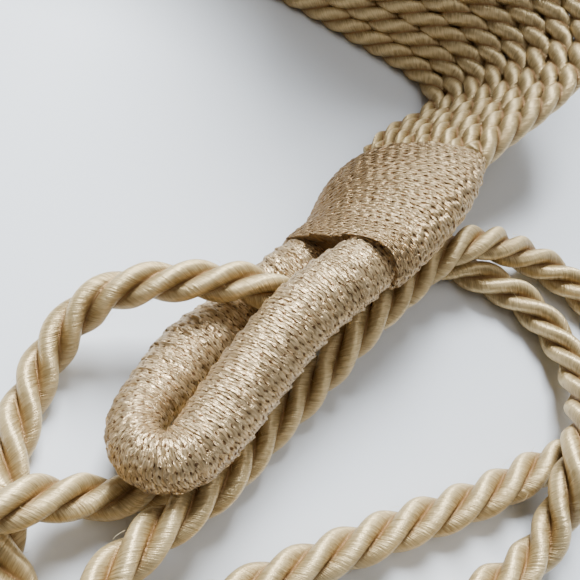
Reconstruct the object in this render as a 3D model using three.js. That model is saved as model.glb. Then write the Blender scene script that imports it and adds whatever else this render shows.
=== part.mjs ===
// A satin rope belt, lying loose on a table. Eight twisted ropes are stitched side by side
// into a flat woven band. At each end the band is gathered into a wound neck, out of which
// comes a long wound eye. A thin tie cord is sewn under the first eye, threaded through it and
// knotted at its free end.
// Millimetres, +Z up, the table at z = 0, the first eye towards -Y.

import * as THREE from 'three';

const degrees = THREE.MathUtils.degToRad;

// The band
const BAND_WIDTH = 38;
const BAND_THICKNESS = 5.2;
const BAND_ROPES = 8;
const CURL_SIZE = 200;
const VALLEY = 0.55;

// The wound ends
const NECK_LENGTH = 39;
const NECK_WIDTH = 26.5;
const NECK_DEPTH = 14;
const NECK_HEIGHT = 11;
const EYE_LENGTH = 40;
const EYE_SPREAD = 10;
const EYE_HEIGHT = 17.5;
const EYE_THICKNESS = 10.8;
const SECOND_EYE_SPREAD = 24;
const SEAT_GAP = 0.3;

// The tie cord
const CORD_DIAMETER = 6.6;
const CORD_STEPS = 80;
const KNOT_SIZE = 11;

// How finely curves are cut into faces
const NECK_SIDES = 16;
const EYE_SIDES = 12;
const CORD_SIDES = 8;
const KNOT_SIDES = 16;
const STEPS_PER_ROW = 4;

// Where the first neck's lower face stands, and which way each end points
const FIRST_END = { x: -5, y: -9.75, turn: -26.8 };
const SECOND_END_TURN = 90;

// Neck rows run from the eye to the band: y as a share of NECK_LENGTH, x of NECK_WIDTH,
// z of NECK_HEIGHT, wide of NECK_WIDTH and deep of NECK_DEPTH. aim and lean turn the width.
const FIRST_NECK = [
  { y: 0.00, x: 0.00, z: 1.00, aim: 0, lean: 48, wide: 0.94, deep: 0.70 },
  { y: 0.14, x: 0.01, z: 1.02, aim: 2, lean: 46, wide: 1.00, deep: 0.82 },
  { y: 0.30, x: 0.00, z: 1.03, aim: 6, lean: 43, wide: 1.06, deep: 0.90 },
  { y: 0.58, x: -0.11, z: 1.01, aim: 13, lean: 39, wide: 1.15, deep: 0.92 },
  { y: 0.80, x: -0.20, z: 0.95, aim: 17, lean: 37, wide: 1.10, deep: 0.80 },
  { y: 0.96, x: -0.25, z: 0.90, aim: 19, lean: 36, wide: 0.95, deep: 0.60 },
];
const SECOND_NECK = [
  { y: 0.00, x: 0.00, z: 0.56, aim: 0, lean: 0, wide: 0.98, deep: 0.78 },
  { y: 0.30, x: 0.00, z: 0.62, aim: 0, lean: -3, wide: 1.00, deep: 0.86 },
  { y: 0.60, x: 0.00, z: 0.66, aim: 0, lean: -7, wide: 1.00, deep: 0.86 },
  { y: 0.84, x: 0.00, z: 0.64, aim: 0, lean: -13, wide: 0.96, deep: 0.72 },
  { y: 1.00, x: 0.00, z: 0.60, aim: 0, lean: -18, wide: 0.93, deep: 0.55 },
];

// Eye rows run from one arm's root round the nose to the other's: y as a share of
// EYE_LENGTH away from the neck, x of EYE_SPREAD, z of EYE_HEIGHT, wide and deep of
// EYE_THICKNESS.
const FIRST_EYE = [
  { y: 0.000, x: -0.51, z: 0.26, wide: 0.83, deep: 0.66 },
  { y: 0.150, x: -0.52, z: 0.24, wide: 0.84, deep: 0.64 },
  { y: 0.380, x: -0.42, z: 0.26, wide: 0.98, deep: 0.76 },
  { y: 0.560, x: -0.37, z: 0.29, wide: 1.02, deep: 0.86 },
  { y: 0.720, x: -0.20, z: 0.33, wide: 0.97, deep: 0.86 },
  { y: 0.865, x: -0.03, z: 0.42, wide: 0.84, deep: 0.82 },
  { y: 0.952, x: 0.18, z: 0.53, wide: 0.78, deep: 0.80 },
  { y: 0.998, x: 0.46, z: 0.64, wide: 0.75, deep: 0.78 },
  { y: 0.998, x: 0.73, z: 0.71, wide: 0.77, deep: 0.79 },
  { y: 0.957, x: 0.96, z: 0.75, wide: 0.81, deep: 0.82 },
  { y: 0.880, x: 1.04, z: 0.76, wide: 0.87, deep: 0.85 },
  { y: 0.800, x: 1.00, z: 0.77, wide: 0.93, deep: 0.86 },
  { y: 0.700, x: 0.91, z: 0.78, wide: 0.98, deep: 0.87 },
  { y: 0.500, x: 0.71, z: 0.83, wide: 1.01, deep: 0.86 },
  { y: 0.260, x: 0.53, z: 0.93, wide: 1.02, deep: 0.80 },
  { y: 0.072, x: 0.50, z: 0.98, wide: 1.02, deep: 0.77 },
  { y: 0.000, x: 0.51, z: 0.99, wide: 1.02, deep: 0.77 },
];

// The second eye is a plain flat hairpin, its arms' height a share of EYE_THICKNESS
const SECOND_EYE = { wide: 0.86, deep: 0.86, straight: 0.78, rows: 9 };

// Band rows follow the lower edge from the first neck: x and y as shares of CURL_SIZE from
// the neck's top, aim the way the width points, lean its rise, wide a share of BAND_WIDTH,
// deep of BAND_THICKNESS.
const BAND_ROUTE = [
  { x: 0.000, y: 0.000, aim: -8, lean: 36, wide: 0.66, deep: 1.30 },
  { x: 0.008, y: 0.035, aim: -6, lean: 36, wide: 0.72, deep: 1.20 },
  { x: 0.022, y: 0.068, aim: 0, lean: 38, wide: 0.82, deep: 1.08 },
  { x: 0.037, y: 0.096, aim: 12, lean: 40, wide: 0.92, deep: 1.00 },
  { x: 0.042, y: 0.125, aim: 32, lean: 44, wide: 1.00, deep: 1.00 },
  { x: 0.027, y: 0.150, aim: 56, lean: 49, wide: 1.00, deep: 1.00 },
  { x: -0.010, y: 0.167, aim: 74, lean: 55, wide: 1.00, deep: 1.00 },
  { x: -0.065, y: 0.180, aim: 80, lean: 61, wide: 1.00, deep: 1.00 },
  { x: -0.150, y: 0.197, aim: 82, lean: 66, wide: 1.00, deep: 1.00 },
  { x: -0.250, y: 0.210, aim: 86, lean: 69, wide: 1.00, deep: 1.00 },
  { x: -0.370, y: 0.212, aim: 91, lean: 70, wide: 1.00, deep: 1.00 },
  { x: -0.490, y: 0.200, aim: 99, lean: 70, wide: 1.00, deep: 1.00 },
  { x: -0.615, y: 0.164, aim: 110, lean: 70, wide: 1.00, deep: 1.00 },
  { x: -0.738, y: 0.096, aim: 125, lean: 70, wide: 1.00, deep: 1.00 },
  { x: -0.840, y: -0.006, aim: 143, lean: 70, wide: 1.00, deep: 1.00 },
  { x: -0.904, y: -0.134, aim: 162, lean: 70, wide: 1.00, deep: 1.00 },
  { x: -0.920, y: -0.276, aim: 183, lean: 70, wide: 1.00, deep: 1.00 },
  { x: -0.884, y: -0.414, aim: 203, lean: 69, wide: 1.00, deep: 1.00 },
  { x: -0.800, y: -0.530, aim: 223, lean: 66, wide: 1.00, deep: 1.00 },
  { x: -0.685, y: -0.614, aim: 240, lean: 60, wide: 1.00, deep: 1.00 },
  { x: -0.568, y: -0.664, aim: 252, lean: 50, wide: 0.96, deep: 1.00 },
  { x: -0.468, y: -0.692, aim: 262, lean: 36, wide: 0.84, deep: 1.06 },
  { x: -0.388, y: -0.701, aim: 268, lean: 24, wide: 0.72, deep: 1.20 },
  { x: -0.338, y: -0.702, aim: 270, lean: 18, wide: 0.66, deep: 1.30 },
];
const BAND_STEPS_PER_ROW = 3;

// The tie cord's route, chosen point by point: from its sewn end under the first eye, out
// to the left, over itself, along the eye's outer side, round to the right and back in
// front, then up, over the eye's near arm, through the slot and out to the right.
const CORD_ROUTE = [
  [-5.9, -23.4, 7.6], [-8, -29, 5.8], [-9.9, -34.5, 3.9], [-11.3, -40.5, 3.4],
  [-13.1, -46.5, 3.4], [-16.7, -51.4, 3.4], [-21.9, -54.6, 4.3], [-26.4, -57.3, 7.5],
  [-30.6, -60.9, 10.1], [-35.3, -64.8, 9.5], [-39.7, -68.8, 7.8], [-43.2, -73.6, 6],
  [-45, -79.3, 4.4], [-44.2, -85.3, 3.6], [-40.7, -90.3, 3.4], [-35.2, -93, 3.4],
  [-29.1, -92.7, 3.6], [-24, -89.4, 4.4], [-20.7, -84.5, 6.1], [-18.8, -79, 8.2],
  [-17.5, -73.2, 10.1], [-16, -67.3, 10.3], [-13.9, -61.5, 9.8], [-11.4, -55.9, 8.8],
  [-8.6, -50.7, 7], [-5.9, -45.3, 5.8], [-4, -39.8, 3.8], [-2, -33.9, 3.4],
  [0.3, -28.2, 3.5], [2.4, -22.6, 5.2], [4.4, -17.4, 7.9], [6.3, -11.7, 9.1],
  [8.9, -6.1, 8.6], [11.5, -0.5, 8.7], [14.2, 5, 9.5], [17.8, 9.9, 10.3], [22.5, 13.8, 9.4],
  [27.4, 16.6, 6.9], [32.9, 18.5, 4.9], [38.9, 18.7, 3.6], [44.8, 16.7, 3.4],
  [50.2, 13.8, 3.4], [54.9, 9.7, 3.4], [58, 4.4, 3.4], [59.3, -1.6, 3.4], [58.2, -7.6, 3.4],
  [54.8, -12.8, 3.4], [50, -16.6, 3.4], [44.8, -19.9, 3.4], [40.3, -24.2, 3.4],
  [36, -28.7, 3.4], [31.5, -32.9, 3.4], [26.8, -36.9, 3.4], [22, -40.9, 3.4],
  [17.3, -45, 3.4], [12.7, -49.1, 3.4], [8.1, -53.2, 3.4], [3.5, -57.4, 3.4],
  [-1, -61.6, 3.4], [-5.7, -65.7, 3.4], [-10.9, -69, 3.4], [-16.8, -70.9, 3.4],
  [-22.9, -70.7, 3.4], [-28.2, -67.6, 3.4], [-31.8, -62.5, 3.4], [-34.6, -57, 3.4],
  [-36.5, -51.1, 3.4], [-37.8, -45.1, 3.4], [-38.2, -39, 4.4], [-37.3, -33.5, 7],
  [-34.7, -28.8, 10.1], [-30.2, -25.1, 12.2], [-24.9, -22, 12.9], [-19.4, -19.2, 12.9],
  [-13.8, -16.7, 12.3], [-8.1, -15.7, 10.1], [-2.8, -15, 6.7], [1.2, -11.7, 3.8],
  [3.9, -6.1, 3.4], [6.3, -0.4, 3.4], [9.4, 4.9, 3.4], [14.1, 9, 3.4], [19.9, 10.7, 3.4],
  [26.1, 10.4, 3.4], [32.2, 9.6, 3.4], [37.8, 7, 3.4], [42.4, 2.8, 3.8], [45.2, -2.5, 5.2],
  [46.2, -8.3, 7], [46, -14.1, 9.1], [45.1, -20.1, 10.3], [45.1, -25.9, 8.6],
  [45.1, -31.2, 5.4], [43.3, -36.8, 3.6], [39.7, -41.8, 3.4], [35.3, -46.2, 3.4],
  [31, -50.5, 3.4],
];

const SATIN = { color: 0xdcc8a0, roughness: 0.5, metalness: 0 };
const RIBBON = { color: 0xcdb79b, roughness: 0.42, metalness: 0 };

// A smooth column of a table, read at any share of the way through its rows
function follow(rows, columns) {
  const at = rows.map((row) => new THREE.Vector3(...columns.map((name) => row[name])));
  return new THREE.CatmullRomCurve3(at, false, 'catmullrom', 0.5);
}

// A closed body through sections that all have the same number of points
function loft(sections) {
  const count = sections[0].length;
  const points = sections.flat();
  const faces = [];
  for (let i = 0; i < sections.length - 1; i += 1) {
    for (let j = 0; j < count; j += 1) {
      const a = i * count + j;
      const b = i * count + ((j + 1) % count);
      faces.push(a, b + count, b, a, a + count, b + count);
    }
  }
  [sections[0], sections.at(-1)].forEach((section, end) => {
    const middle = new THREE.Vector3();
    section.forEach((point) => middle.add(point));
    points.push(middle.divideScalar(count));
    const first = end === 0 ? 0 : points.length - 2 - count;
    for (let j = 0; j < count; j += 1) {
      const rim = [first + j, first + ((j + 1) % count)];
      faces.push(points.length - 1, rim[end], rim[1 - end]);
    }
  });
  const body = new THREE.BufferGeometry().setFromPoints(points);
  body.setIndex(faces);
  body.computeVertexNormals();
  return body;
}

// An upright section: its width points along aim and rises by lean, both in degrees
function upright(centre, aim, lean, outline) {
  const way = new THREE.Vector3(Math.cos(degrees(aim)), Math.sin(degrees(aim)), 0);
  const up = new THREE.Vector3(0, 0, 1);
  const across = way.clone().multiplyScalar(Math.cos(degrees(lean)));
  across.addScaledVector(up, Math.sin(degrees(lean)));
  const through = way.multiplyScalar(-Math.sin(degrees(lean)));
  through.addScaledVector(up, Math.cos(degrees(lean)));
  return outline.map(([p, q]) => centre.clone().addScaledVector(across, p).addScaledVector(through, q));
}

// An oval with a flat facet on its underside
function oval(wide, deep, sides) {
  return Array.from({ length: sides }, (_, i) => {
    const angle = ((i + 0.5) / sides) * 2 * Math.PI - Math.PI / 2;
    return [(wide / 2) * Math.cos(angle), (deep / 2) * Math.sin(angle)];
  });
}

// Ropes side by side: a crest on each rope, a valley between each pair, on both faces
function lobes(wide, deep) {
  const pitch = wide / BAND_ROPES;
  const face = [];
  for (let i = 0; i < BAND_ROPES; i += 1) {
    if (i > 0) face.push([i * pitch, (VALLEY * deep) / 2]);
    face.push([(i + 0.5) * pitch, deep / 2]);
  }
  const back = face.map(([p, q]) => [p, -q]);
  return [[0, 0], ...back, [wide, 0], ...face.reverse()];
}

function neck(rows) {
  const centres = follow(rows, ['x', 'y', 'z']);
  const turns = follow(rows, ['aim', 'lean', 'wide']);
  const depths = follow(rows, ['deep', 'deep', 'deep']);
  const last = (rows.length - 1) * STEPS_PER_ROW;
  const sections = [];
  for (let i = 0; i <= last; i += 1) {
    const centre = centres.getPoint(i / last);
    centre.multiply(new THREE.Vector3(NECK_WIDTH, NECK_LENGTH, NECK_HEIGHT));
    const { x: aim, y: lean, z: wide } = turns.getPoint(i / last);
    const deep = depths.getPoint(i / last).x;
    const outline = oval(wide * NECK_WIDTH, deep * NECK_DEPTH, NECK_SIDES);
    sections.push(upright(centre, aim, lean, outline));
  }
  return loft(sections);
}

// A tube of oval section along a hairpin, its depth kept towards the sky
function eye(rows) {
  const route = follow(rows, ['x', 'y', 'z']);
  const sizes = follow(rows, ['wide', 'deep', 'deep']);
  const last = (rows.length - 1) * 2;
  const sky = new THREE.Vector3(0, 0, 1);
  const sections = [];
  for (let i = 0; i <= last; i += 1) {
    const centre = route.getPoint(i / last);
    const along = route.getTangent(i / last);
    if (i === 0 || i === last) along.set(0, Math.sign(along.y), 0);
    const across = new THREE.Vector3().crossVectors(along, sky).normalize();
    const through = new THREE.Vector3().crossVectors(across, along);
    const size = sizes.getPoint(i / last).multiplyScalar(EYE_THICKNESS);
    sections.push(oval(size.x, size.y, EYE_SIDES).map(([p, q]) => (
      centre.clone().addScaledVector(across, p).addScaledVector(through, q))));
  }
  return loft(sections);
}

function firstEyeRows() {
  return FIRST_EYE.map((row) => ({
    ...row,
    x: row.x * EYE_SPREAD,
    y: -SEAT_GAP - row.y * EYE_LENGTH,
    z: row.z * EYE_HEIGHT,
  }));
}

function secondEyeRows() {
  const { wide, deep, straight, rows } = SECOND_EYE;
  const reach = straight * EYE_LENGTH;
  const side = (SECOND_EYE_SPREAD - wide * EYE_THICKNESS) / 2 + SEAT_GAP;
  const z = (deep * EYE_THICKNESS * Math.cos(Math.PI / EYE_SIDES)) / 2;
  const arm = [0, 0.25, 0.5, 0.75].map((share) => ({ x: -side, y: -SEAT_GAP - share * reach }));
  const nose = Array.from({ length: rows }, (_, i) => {
    const angle = Math.PI * (i / (rows - 1));
    return { x: -side * Math.cos(angle), y: -SEAT_GAP - reach - side * Math.sin(angle) };
  });
  const back = arm.map((row) => ({ x: side, y: row.y })).reverse();
  return [...arm, ...nose, ...back].map((row) => ({ ...row, z, wide, deep }));
}

function place(geometry, name, finish) {
  const material = new THREE.MeshStandardMaterial(finish);
  const mesh = new THREE.Mesh(geometry, material);
  mesh.name = name;
  return mesh;
}

function endGroup(x, y, turn, meshes) {
  const group = new THREE.Group();
  group.position.set(x, y, 0);
  group.rotation.z = degrees(turn);
  group.add(...meshes);
  return group;
}

// Where a neck meets the band, in the belt's own frame
function neckTop(x, y, turn, rows) {
  const top = rows.at(-1);
  const at = new THREE.Vector3(top.x * NECK_WIDTH, top.y * NECK_LENGTH, top.z * NECK_HEIGHT);
  at.applyAxisAngle(new THREE.Vector3(0, 0, 1), degrees(turn));
  return at.add(new THREE.Vector3(x, y, 0));
}

// The band stands on its lower edge, which each section lowers on to the table
function band(start) {
  const first = BAND_ROUTE[0];
  const route = follow(BAND_ROUTE, ['x', 'y', 'lean']);
  const turns = follow(BAND_ROUTE, ['aim', 'wide', 'deep']);
  const last = (BAND_ROUTE.length - 1) * BAND_STEPS_PER_ROW;
  const reach = (first.wide * BAND_WIDTH * Math.cos(degrees(first.lean))) / 2;
  const heading = degrees(first.aim + 90);
  const edge = new THREE.Vector3(
    start.x - reach * Math.cos(degrees(first.aim)) + SEAT_GAP * Math.cos(heading),
    start.y - reach * Math.sin(degrees(first.aim)) + SEAT_GAP * Math.sin(heading),
    0,
  );
  const sections = [];
  for (let i = 0; i <= last; i += 1) {
    const { x, y, z: lean } = route.getPoint(i / last);
    const { x: aim, y: wide, z: deep } = turns.getPoint(i / last);
    const centre = new THREE.Vector3(x, y, 0).multiplyScalar(CURL_SIZE).add(edge);
    const section = upright(centre, aim, lean, lobes(wide * BAND_WIDTH, deep * BAND_THICKNESS));
    const lowest = Math.min(...section.map((point) => point.z));
    sections.push(section.map((point) => point.setZ(point.z - lowest)));
  }
  return sections;
}

function cordCurve() {
  return new THREE.CatmullRomCurve3(CORD_ROUTE.map((at) => new THREE.Vector3(...at)));
}

function tieCord() {
  const route = cordCurve();
  const round = new THREE.Shape();
  const radius = CORD_DIAMETER / 2;
  for (let i = 0; i < CORD_SIDES; i += 1) {
    const angle = ((i + 0.5) / CORD_SIDES) * 2 * Math.PI;
    const corner = [radius * Math.cos(angle), radius * Math.sin(angle)];
    if (i === 0) round.moveTo(...corner);
    else round.lineTo(...corner);
  }
  return new THREE.ExtrudeGeometry(round, { steps: CORD_STEPS, extrudePath: route });
}

// A round knot just past the cord's free end, resting on the table
function cordKnot() {
  const route = cordCurve();
  const centre = route.getTangent(1).setZ(0).normalize().multiplyScalar(KNOT_SIZE / 2 + SEAT_GAP);
  centre.add(route.getPoint(1)).setZ(KNOT_SIZE / 2);
  const knot = new THREE.SphereGeometry(KNOT_SIZE / 2, KNOT_SIDES, KNOT_SIDES / 2);
  return knot.rotateX(Math.PI / 2).translate(centre.x, centre.y, centre.z);
}

const firstTop = neckTop(FIRST_END.x, FIRST_END.y, FIRST_END.turn, FIRST_NECK);
const bandSections = band(firstTop);
const bandEnd = bandSections.at(-1);
const bandEndMiddle = new THREE.Box3().setFromPoints(bandEnd).getCenter(new THREE.Vector3());
const secondReach = NECK_LENGTH + SEAT_GAP;
const secondEnd = {
  x: bandEndMiddle.x + secondReach * Math.sin(degrees(SECOND_END_TURN)),
  y: bandEndMiddle.y - secondReach * Math.cos(degrees(SECOND_END_TURN)),
};

const belt = new THREE.Group();
belt.add(place(loft(bandSections), 'woven_band', SATIN));
belt.add(endGroup(FIRST_END.x, FIRST_END.y, FIRST_END.turn, [
  place(neck(FIRST_NECK), 'neck_wrap', RIBBON),
  place(eye(firstEyeRows()), 'eye_loop', RIBBON),
]));
belt.add(endGroup(secondEnd.x, secondEnd.y, SECOND_END_TURN, [
  place(neck(SECOND_NECK), 'second_neck_wrap', RIBBON),
  place(eye(secondEyeRows()), 'second_eye_loop', RIBBON),
]));
belt.updateMatrixWorld(true);
const middle = new THREE.Box3().setFromObject(belt, true).getCenter(new THREE.Vector3());
belt.add(place(tieCord(), 'tie_cord', SATIN));
belt.add(place(cordKnot(), 'cord_knot', SATIN));
belt.position.set(-middle.x, -middle.y, 0);

export default belt;
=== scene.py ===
# %% [markdown]
# # A satin rope belt
# The belt lies curled on a pale table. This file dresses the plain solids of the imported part: it lays real
# twisted ropes in the band, winds knitted ribbon round the necks and eyes, and twists the tie cord.

import math

import bpy
import numpy as np
from mathutils import Matrix, Vector


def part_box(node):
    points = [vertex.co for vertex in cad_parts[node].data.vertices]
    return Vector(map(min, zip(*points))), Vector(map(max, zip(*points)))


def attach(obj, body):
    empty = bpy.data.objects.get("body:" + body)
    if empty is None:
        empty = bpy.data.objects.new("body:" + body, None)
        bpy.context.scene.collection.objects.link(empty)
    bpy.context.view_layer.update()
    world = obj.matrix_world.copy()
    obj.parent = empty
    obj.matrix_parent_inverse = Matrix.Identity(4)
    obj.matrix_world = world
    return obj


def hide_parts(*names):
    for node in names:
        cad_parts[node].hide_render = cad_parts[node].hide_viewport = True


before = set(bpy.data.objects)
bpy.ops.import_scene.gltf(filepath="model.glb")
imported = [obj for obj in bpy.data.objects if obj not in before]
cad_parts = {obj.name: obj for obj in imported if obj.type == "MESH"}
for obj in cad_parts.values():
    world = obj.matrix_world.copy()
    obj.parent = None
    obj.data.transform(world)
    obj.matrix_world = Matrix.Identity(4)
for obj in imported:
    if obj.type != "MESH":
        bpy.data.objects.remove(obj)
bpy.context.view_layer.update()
print("solids:", sorted(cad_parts))

# %% [markdown]
# Lengths below are in millimetres, as a rope maker would say them, and are turned to metres when a mesh is
# made. The belt's tables were drawn from a corner of the table, so one shift takes them to the belt's middle.
# Chance numbers come from a seeded source, so every run lays the same threads.

# %% Units and the belt's place
MM = 0.001
BELT_SHIFT = np.array([86.380, 25.704, 0.0])
UPWARDS = np.array([0, 0, 1.0])
rope_chance = np.random.default_rng(7)

# %% [markdown]
# The photograph looks down at a little under sixty degrees from close by, and the picture is rolled, so the
# camera gets its three directions outright: where right, up and forward lie in the room.

# %% Camera
CAMERA_AT = (78.38, -50.25, 108.09)
PICTURE_RIGHT = Vector((0.9205, 0.3295, 0.2099))
PICTURE_UP = Vector((-0.3907, 0.7763, 0.4946))
LENS = 43.45

camera_data = bpy.data.cameras.new("camera")
camera_data.lens = LENS
camera_data.sensor_width = 36
camera_data.clip_start = 0.01
camera = bpy.data.objects.new("camera", camera_data)
bpy.context.scene.collection.objects.link(camera)
backwards = PICTURE_RIGHT.cross(PICTURE_UP)
turn = Matrix((PICTURE_RIGHT, PICTURE_UP, backwards)).transposed().to_4x4()
camera.matrix_world = Matrix.Translation(Vector(CAMERA_AT) * MM) @ turn
bpy.context.scene.camera = camera
print("camera %.0f mm from the table along its view" % (CAMERA_AT[2] / backwards.z))

# %% [markdown]
# Rope and ribbon follow soft lines. A table of a few rows is enough for each one, because a curve that passes
# through every row fills in what lies between. The curve is then walked in even steps, so that threads and
# stitches keep their size along it.

# %% Soft lines
def smooth_rows(rows, count):
    """Reads a table between its rows, so that a few rows give a soft curve."""
    rows = np.asarray(rows, float)
    padded = np.vstack([2 * rows[0] - rows[1], rows, 2 * rows[-1] - rows[-2]])
    at = np.linspace(0, len(rows) - 1, count)
    k = np.minimum(at.astype(int), len(rows) - 2)
    t = (at - k)[:, None]
    p0, p1, p2, p3 = (padded[k + i] for i in range(4))
    return 0.5 * (2 * p1 + (p2 - p0) * t + (2 * p0 - 5 * p1 + 4 * p2 - p3) * t**2
                  + (3 * p1 - p0 - 3 * p2 + p3) * t**3)


def walked(points):
    """How far along a line each of its points lies."""
    return np.r_[0, np.cumsum(np.linalg.norm(np.diff(points, axis=0), axis=1))]


def even_steps(points, step):
    """The same line with its points an even step apart, and how far along each one lies."""
    along = walked(points)
    to = np.linspace(0, along[-1], max(2, round(along[-1] / step) + 1))
    return np.stack([np.interp(to, along, points[:, k]) for k in range(points.shape[1])], 1), to


def unit(v):
    """The same direction, one long."""
    return v / np.linalg.norm(v, axis=-1, keepdims=True)

# %% [markdown]
# Every soft piece here is a skin drawn round such a line: rings of points, one after the other, closed at
# each end by a fan of triangles. The skin carries two kinds of notes for its finish. A map says where on the
# yarn a corner lies, and an attribute says, for instance, how deep in a groove a point is.

# %% Skins made of rings
def shown(name, mesh):
    """A mesh as an object of the scene, at the origin."""
    bpy.ops.object.select_all(action="DESELECT")
    thing = bpy.data.objects.new(name, mesh)
    bpy.context.scene.collection.objects.link(thing)
    print(name, len(mesh.polygons), "faces")
    return thing


def ring_skin(name, rings, maps, notes):
    """A closed skin through rings (count, around, 3) in mm, with a map per corner and notes per point."""
    count, around = rings.shape[:2]
    a = (np.arange(count - 1)[:, None] * around + np.arange(around)).ravel()
    b = (np.arange(count - 1)[:, None] * around + (np.arange(around) + 1) % around).ravel()
    quads = np.stack([a, b, b + around, a + around], 1)
    points = np.vstack([rings.reshape(-1, 3), rings[0].mean(0), rings[-1].mean(0)])
    first, last = len(points) - 2, len(points) - 1
    base = (count - 1) * around
    j = np.arange(around)
    tips = [np.stack([np.full(around, first), (j + 1) % around, j], 1),
            np.stack([np.full(around, last), base + j, base + (j + 1) % around], 1)]
    faces = [tuple(q) for q in quads.tolist()] + [tuple(t) for tip in tips for t in tip.tolist()]
    mesh = bpy.data.meshes.new(name)
    mesh.from_pydata((points * MM).tolist(), [], faces)
    uv = mesh.uv_layers.new(name="yarn")
    i = np.arange(count - 1)[:, None]
    j = np.arange(around)[None, :]
    corner = np.stack([maps(i, j, j), maps(i, j + 1, j), maps(i + 1, j + 1, j), maps(i + 1, j, j)], 2)
    flat = np.zeros((len(mesh.loops), 2))
    flat[: corner.size // 2] = corner.reshape(-1, 2)
    uv.data.foreach_set("uv", flat.ravel())
    for note, values in notes.items():
        full = np.zeros(len(points))
        full[: count * around] = np.broadcast_to(values, (count, around)).ravel()
        mesh.attributes.new(note, "FLOAT", "POINT").data.foreach_set("value", full)
    mesh.validate()
    mesh.update()
    mesh.polygons.foreach_set("use_smooth", np.ones(len(mesh.polygons), bool))
    return shown(name, mesh)

# %% [markdown]
# A finish is a small net of nodes. The helper below puts a node in a material and plugs in what it is given,
# so each finish reads from its pattern down to its shader.

# %% A helper for finishes
def new_finish(name):
    """An empty net of nodes for one finish."""
    finish = bpy.data.materials.new(name)
    finish.use_nodes = True
    finish.node_tree.nodes.clear()
    return finish


def put(finish, kind, settings=None, **inputs):
    """Adds a node, sets its options, and plugs in or sets its inputs by name or number."""
    node = finish.node_tree.nodes.new("ShaderNode" + kind)
    for option, value in (settings or {}).items():
        setattr(node, option, value)
    for key, value in inputs.items():
        socket = node.inputs[int(key[1:]) if key[0] == "_" and key[1:].isdigit() else key.replace("_", " ")]
        if isinstance(value, bpy.types.NodeSocket):
            finish.node_tree.links.new(value, socket)
        else:
            socket.default_value = value
    return node


def finished(finish, **shine):
    """Ends a net with its shader and its output."""
    surface = put(finish, "BsdfPrincipled", None, **shine)
    finish.node_tree.links.new(surface.outputs[0], put(finish, "OutputMaterial").inputs[0])
    return finish


def colour(red, green, blue):
    """A colour as seen on a screen, 0 to 255, as the shader's own numbers."""
    return tuple((c / 255) ** 2.2 for c in (red, green, blue)) + (1.0,)


def blend(finish, share, first, second):
    """Goes from the first colour to the second by a share of 0 to 1."""
    mixer = put(finish, "Mix", {"data_type": "RGBA"})
    for socket, value in zip((mixer.inputs[0], mixer.inputs[6], mixer.inputs[7]), (share, first, second)):
        if isinstance(value, bpy.types.NodeSocket):
            finish.node_tree.links.new(value, socket)
        else:
            socket.default_value = value
    return mixer.outputs[2]


def sums(finish, kind, a, b, clamp=False):
    """One step of arithmetic, kept to 0 to 1 where clamp is set."""
    return put(finish, "Math", {"operation": kind, "use_clamp": clamp}, _0=a, _1=b).outputs[0]


def stretched(finish, across, along, detail=2.0, seed=0.0):
    """Noise drawn out along the yarn: across and along are how many waves fit in a millimetre."""
    where = put(finish, "UVMap", {"uv_map": "yarn"}).outputs[0]
    place = (seed, seed, seed)
    drawn = put(finish, "Mapping", None, Vector=where, Scale=(across, along, 1.0), Location=place)
    noise = put(finish, "TexNoise", {"noise_dimensions": "2D"}, Vector=drawn.outputs[0], Scale=1.0,
                Detail=detail, Roughness=0.55)
    return noise.outputs[0]


def spread(finish, value, low, high, to_low=0.0, to_high=1.0):
    """Stretches the range from low to high over the range from to_low to to_high."""
    return put(finish, "MapRange", {"clamp": True}, Value=value, From_Min=low, From_Max=high,
               To_Min=to_low, To_Max=to_high).outputs[0]


def threaded(finish, colours, height, depth, **shine):
    """Ends the net of a finish whose threads run along the map and stand up by depth mm."""
    bumps = put(finish, "Bump", None, Height=height, Distance=depth * MM, Strength=1.0)
    threads = put(finish, "Tangent", {"direction_type": "UV_MAP", "uv_map": "yarn"})
    return finished(finish, Base_Color=colours, Normal=bumps.outputs[0], Tangent=threads.outputs[0], **shine)

# %% [markdown]
# Satin rope is thousands of shiny threads side by side. They are too fine to model, but they break the gloss
# into thin bright lines that cross each strand. So the finish draws noise out along the threads, for the
# bump and for faint light and dark streaks. It also paints light and shade: each strand is painted lighter on
# its crown and darker towards its edges, and the groove between strands gets painted shade, a deep golden
# brown.
# Satin sits between cloth and metal: a half metallic shader with its gloss drawn out across the threads
# gives the soft band of light that plain cloth shaders lack.

# %% Satin rope finish
# The groove colour is painted shade. The dark colour is painted shade towards the strand edges and also the
# dark of the thread streaks.
ROPE_LIGHT = colour(224, 199, 148)
ROPE_SHADE_AND_DARK = colour(152, 126, 82)
ROPE_GROOVE_SHADE = colour(122, 84, 38)
THREAD_RELIEF = 0.15


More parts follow.
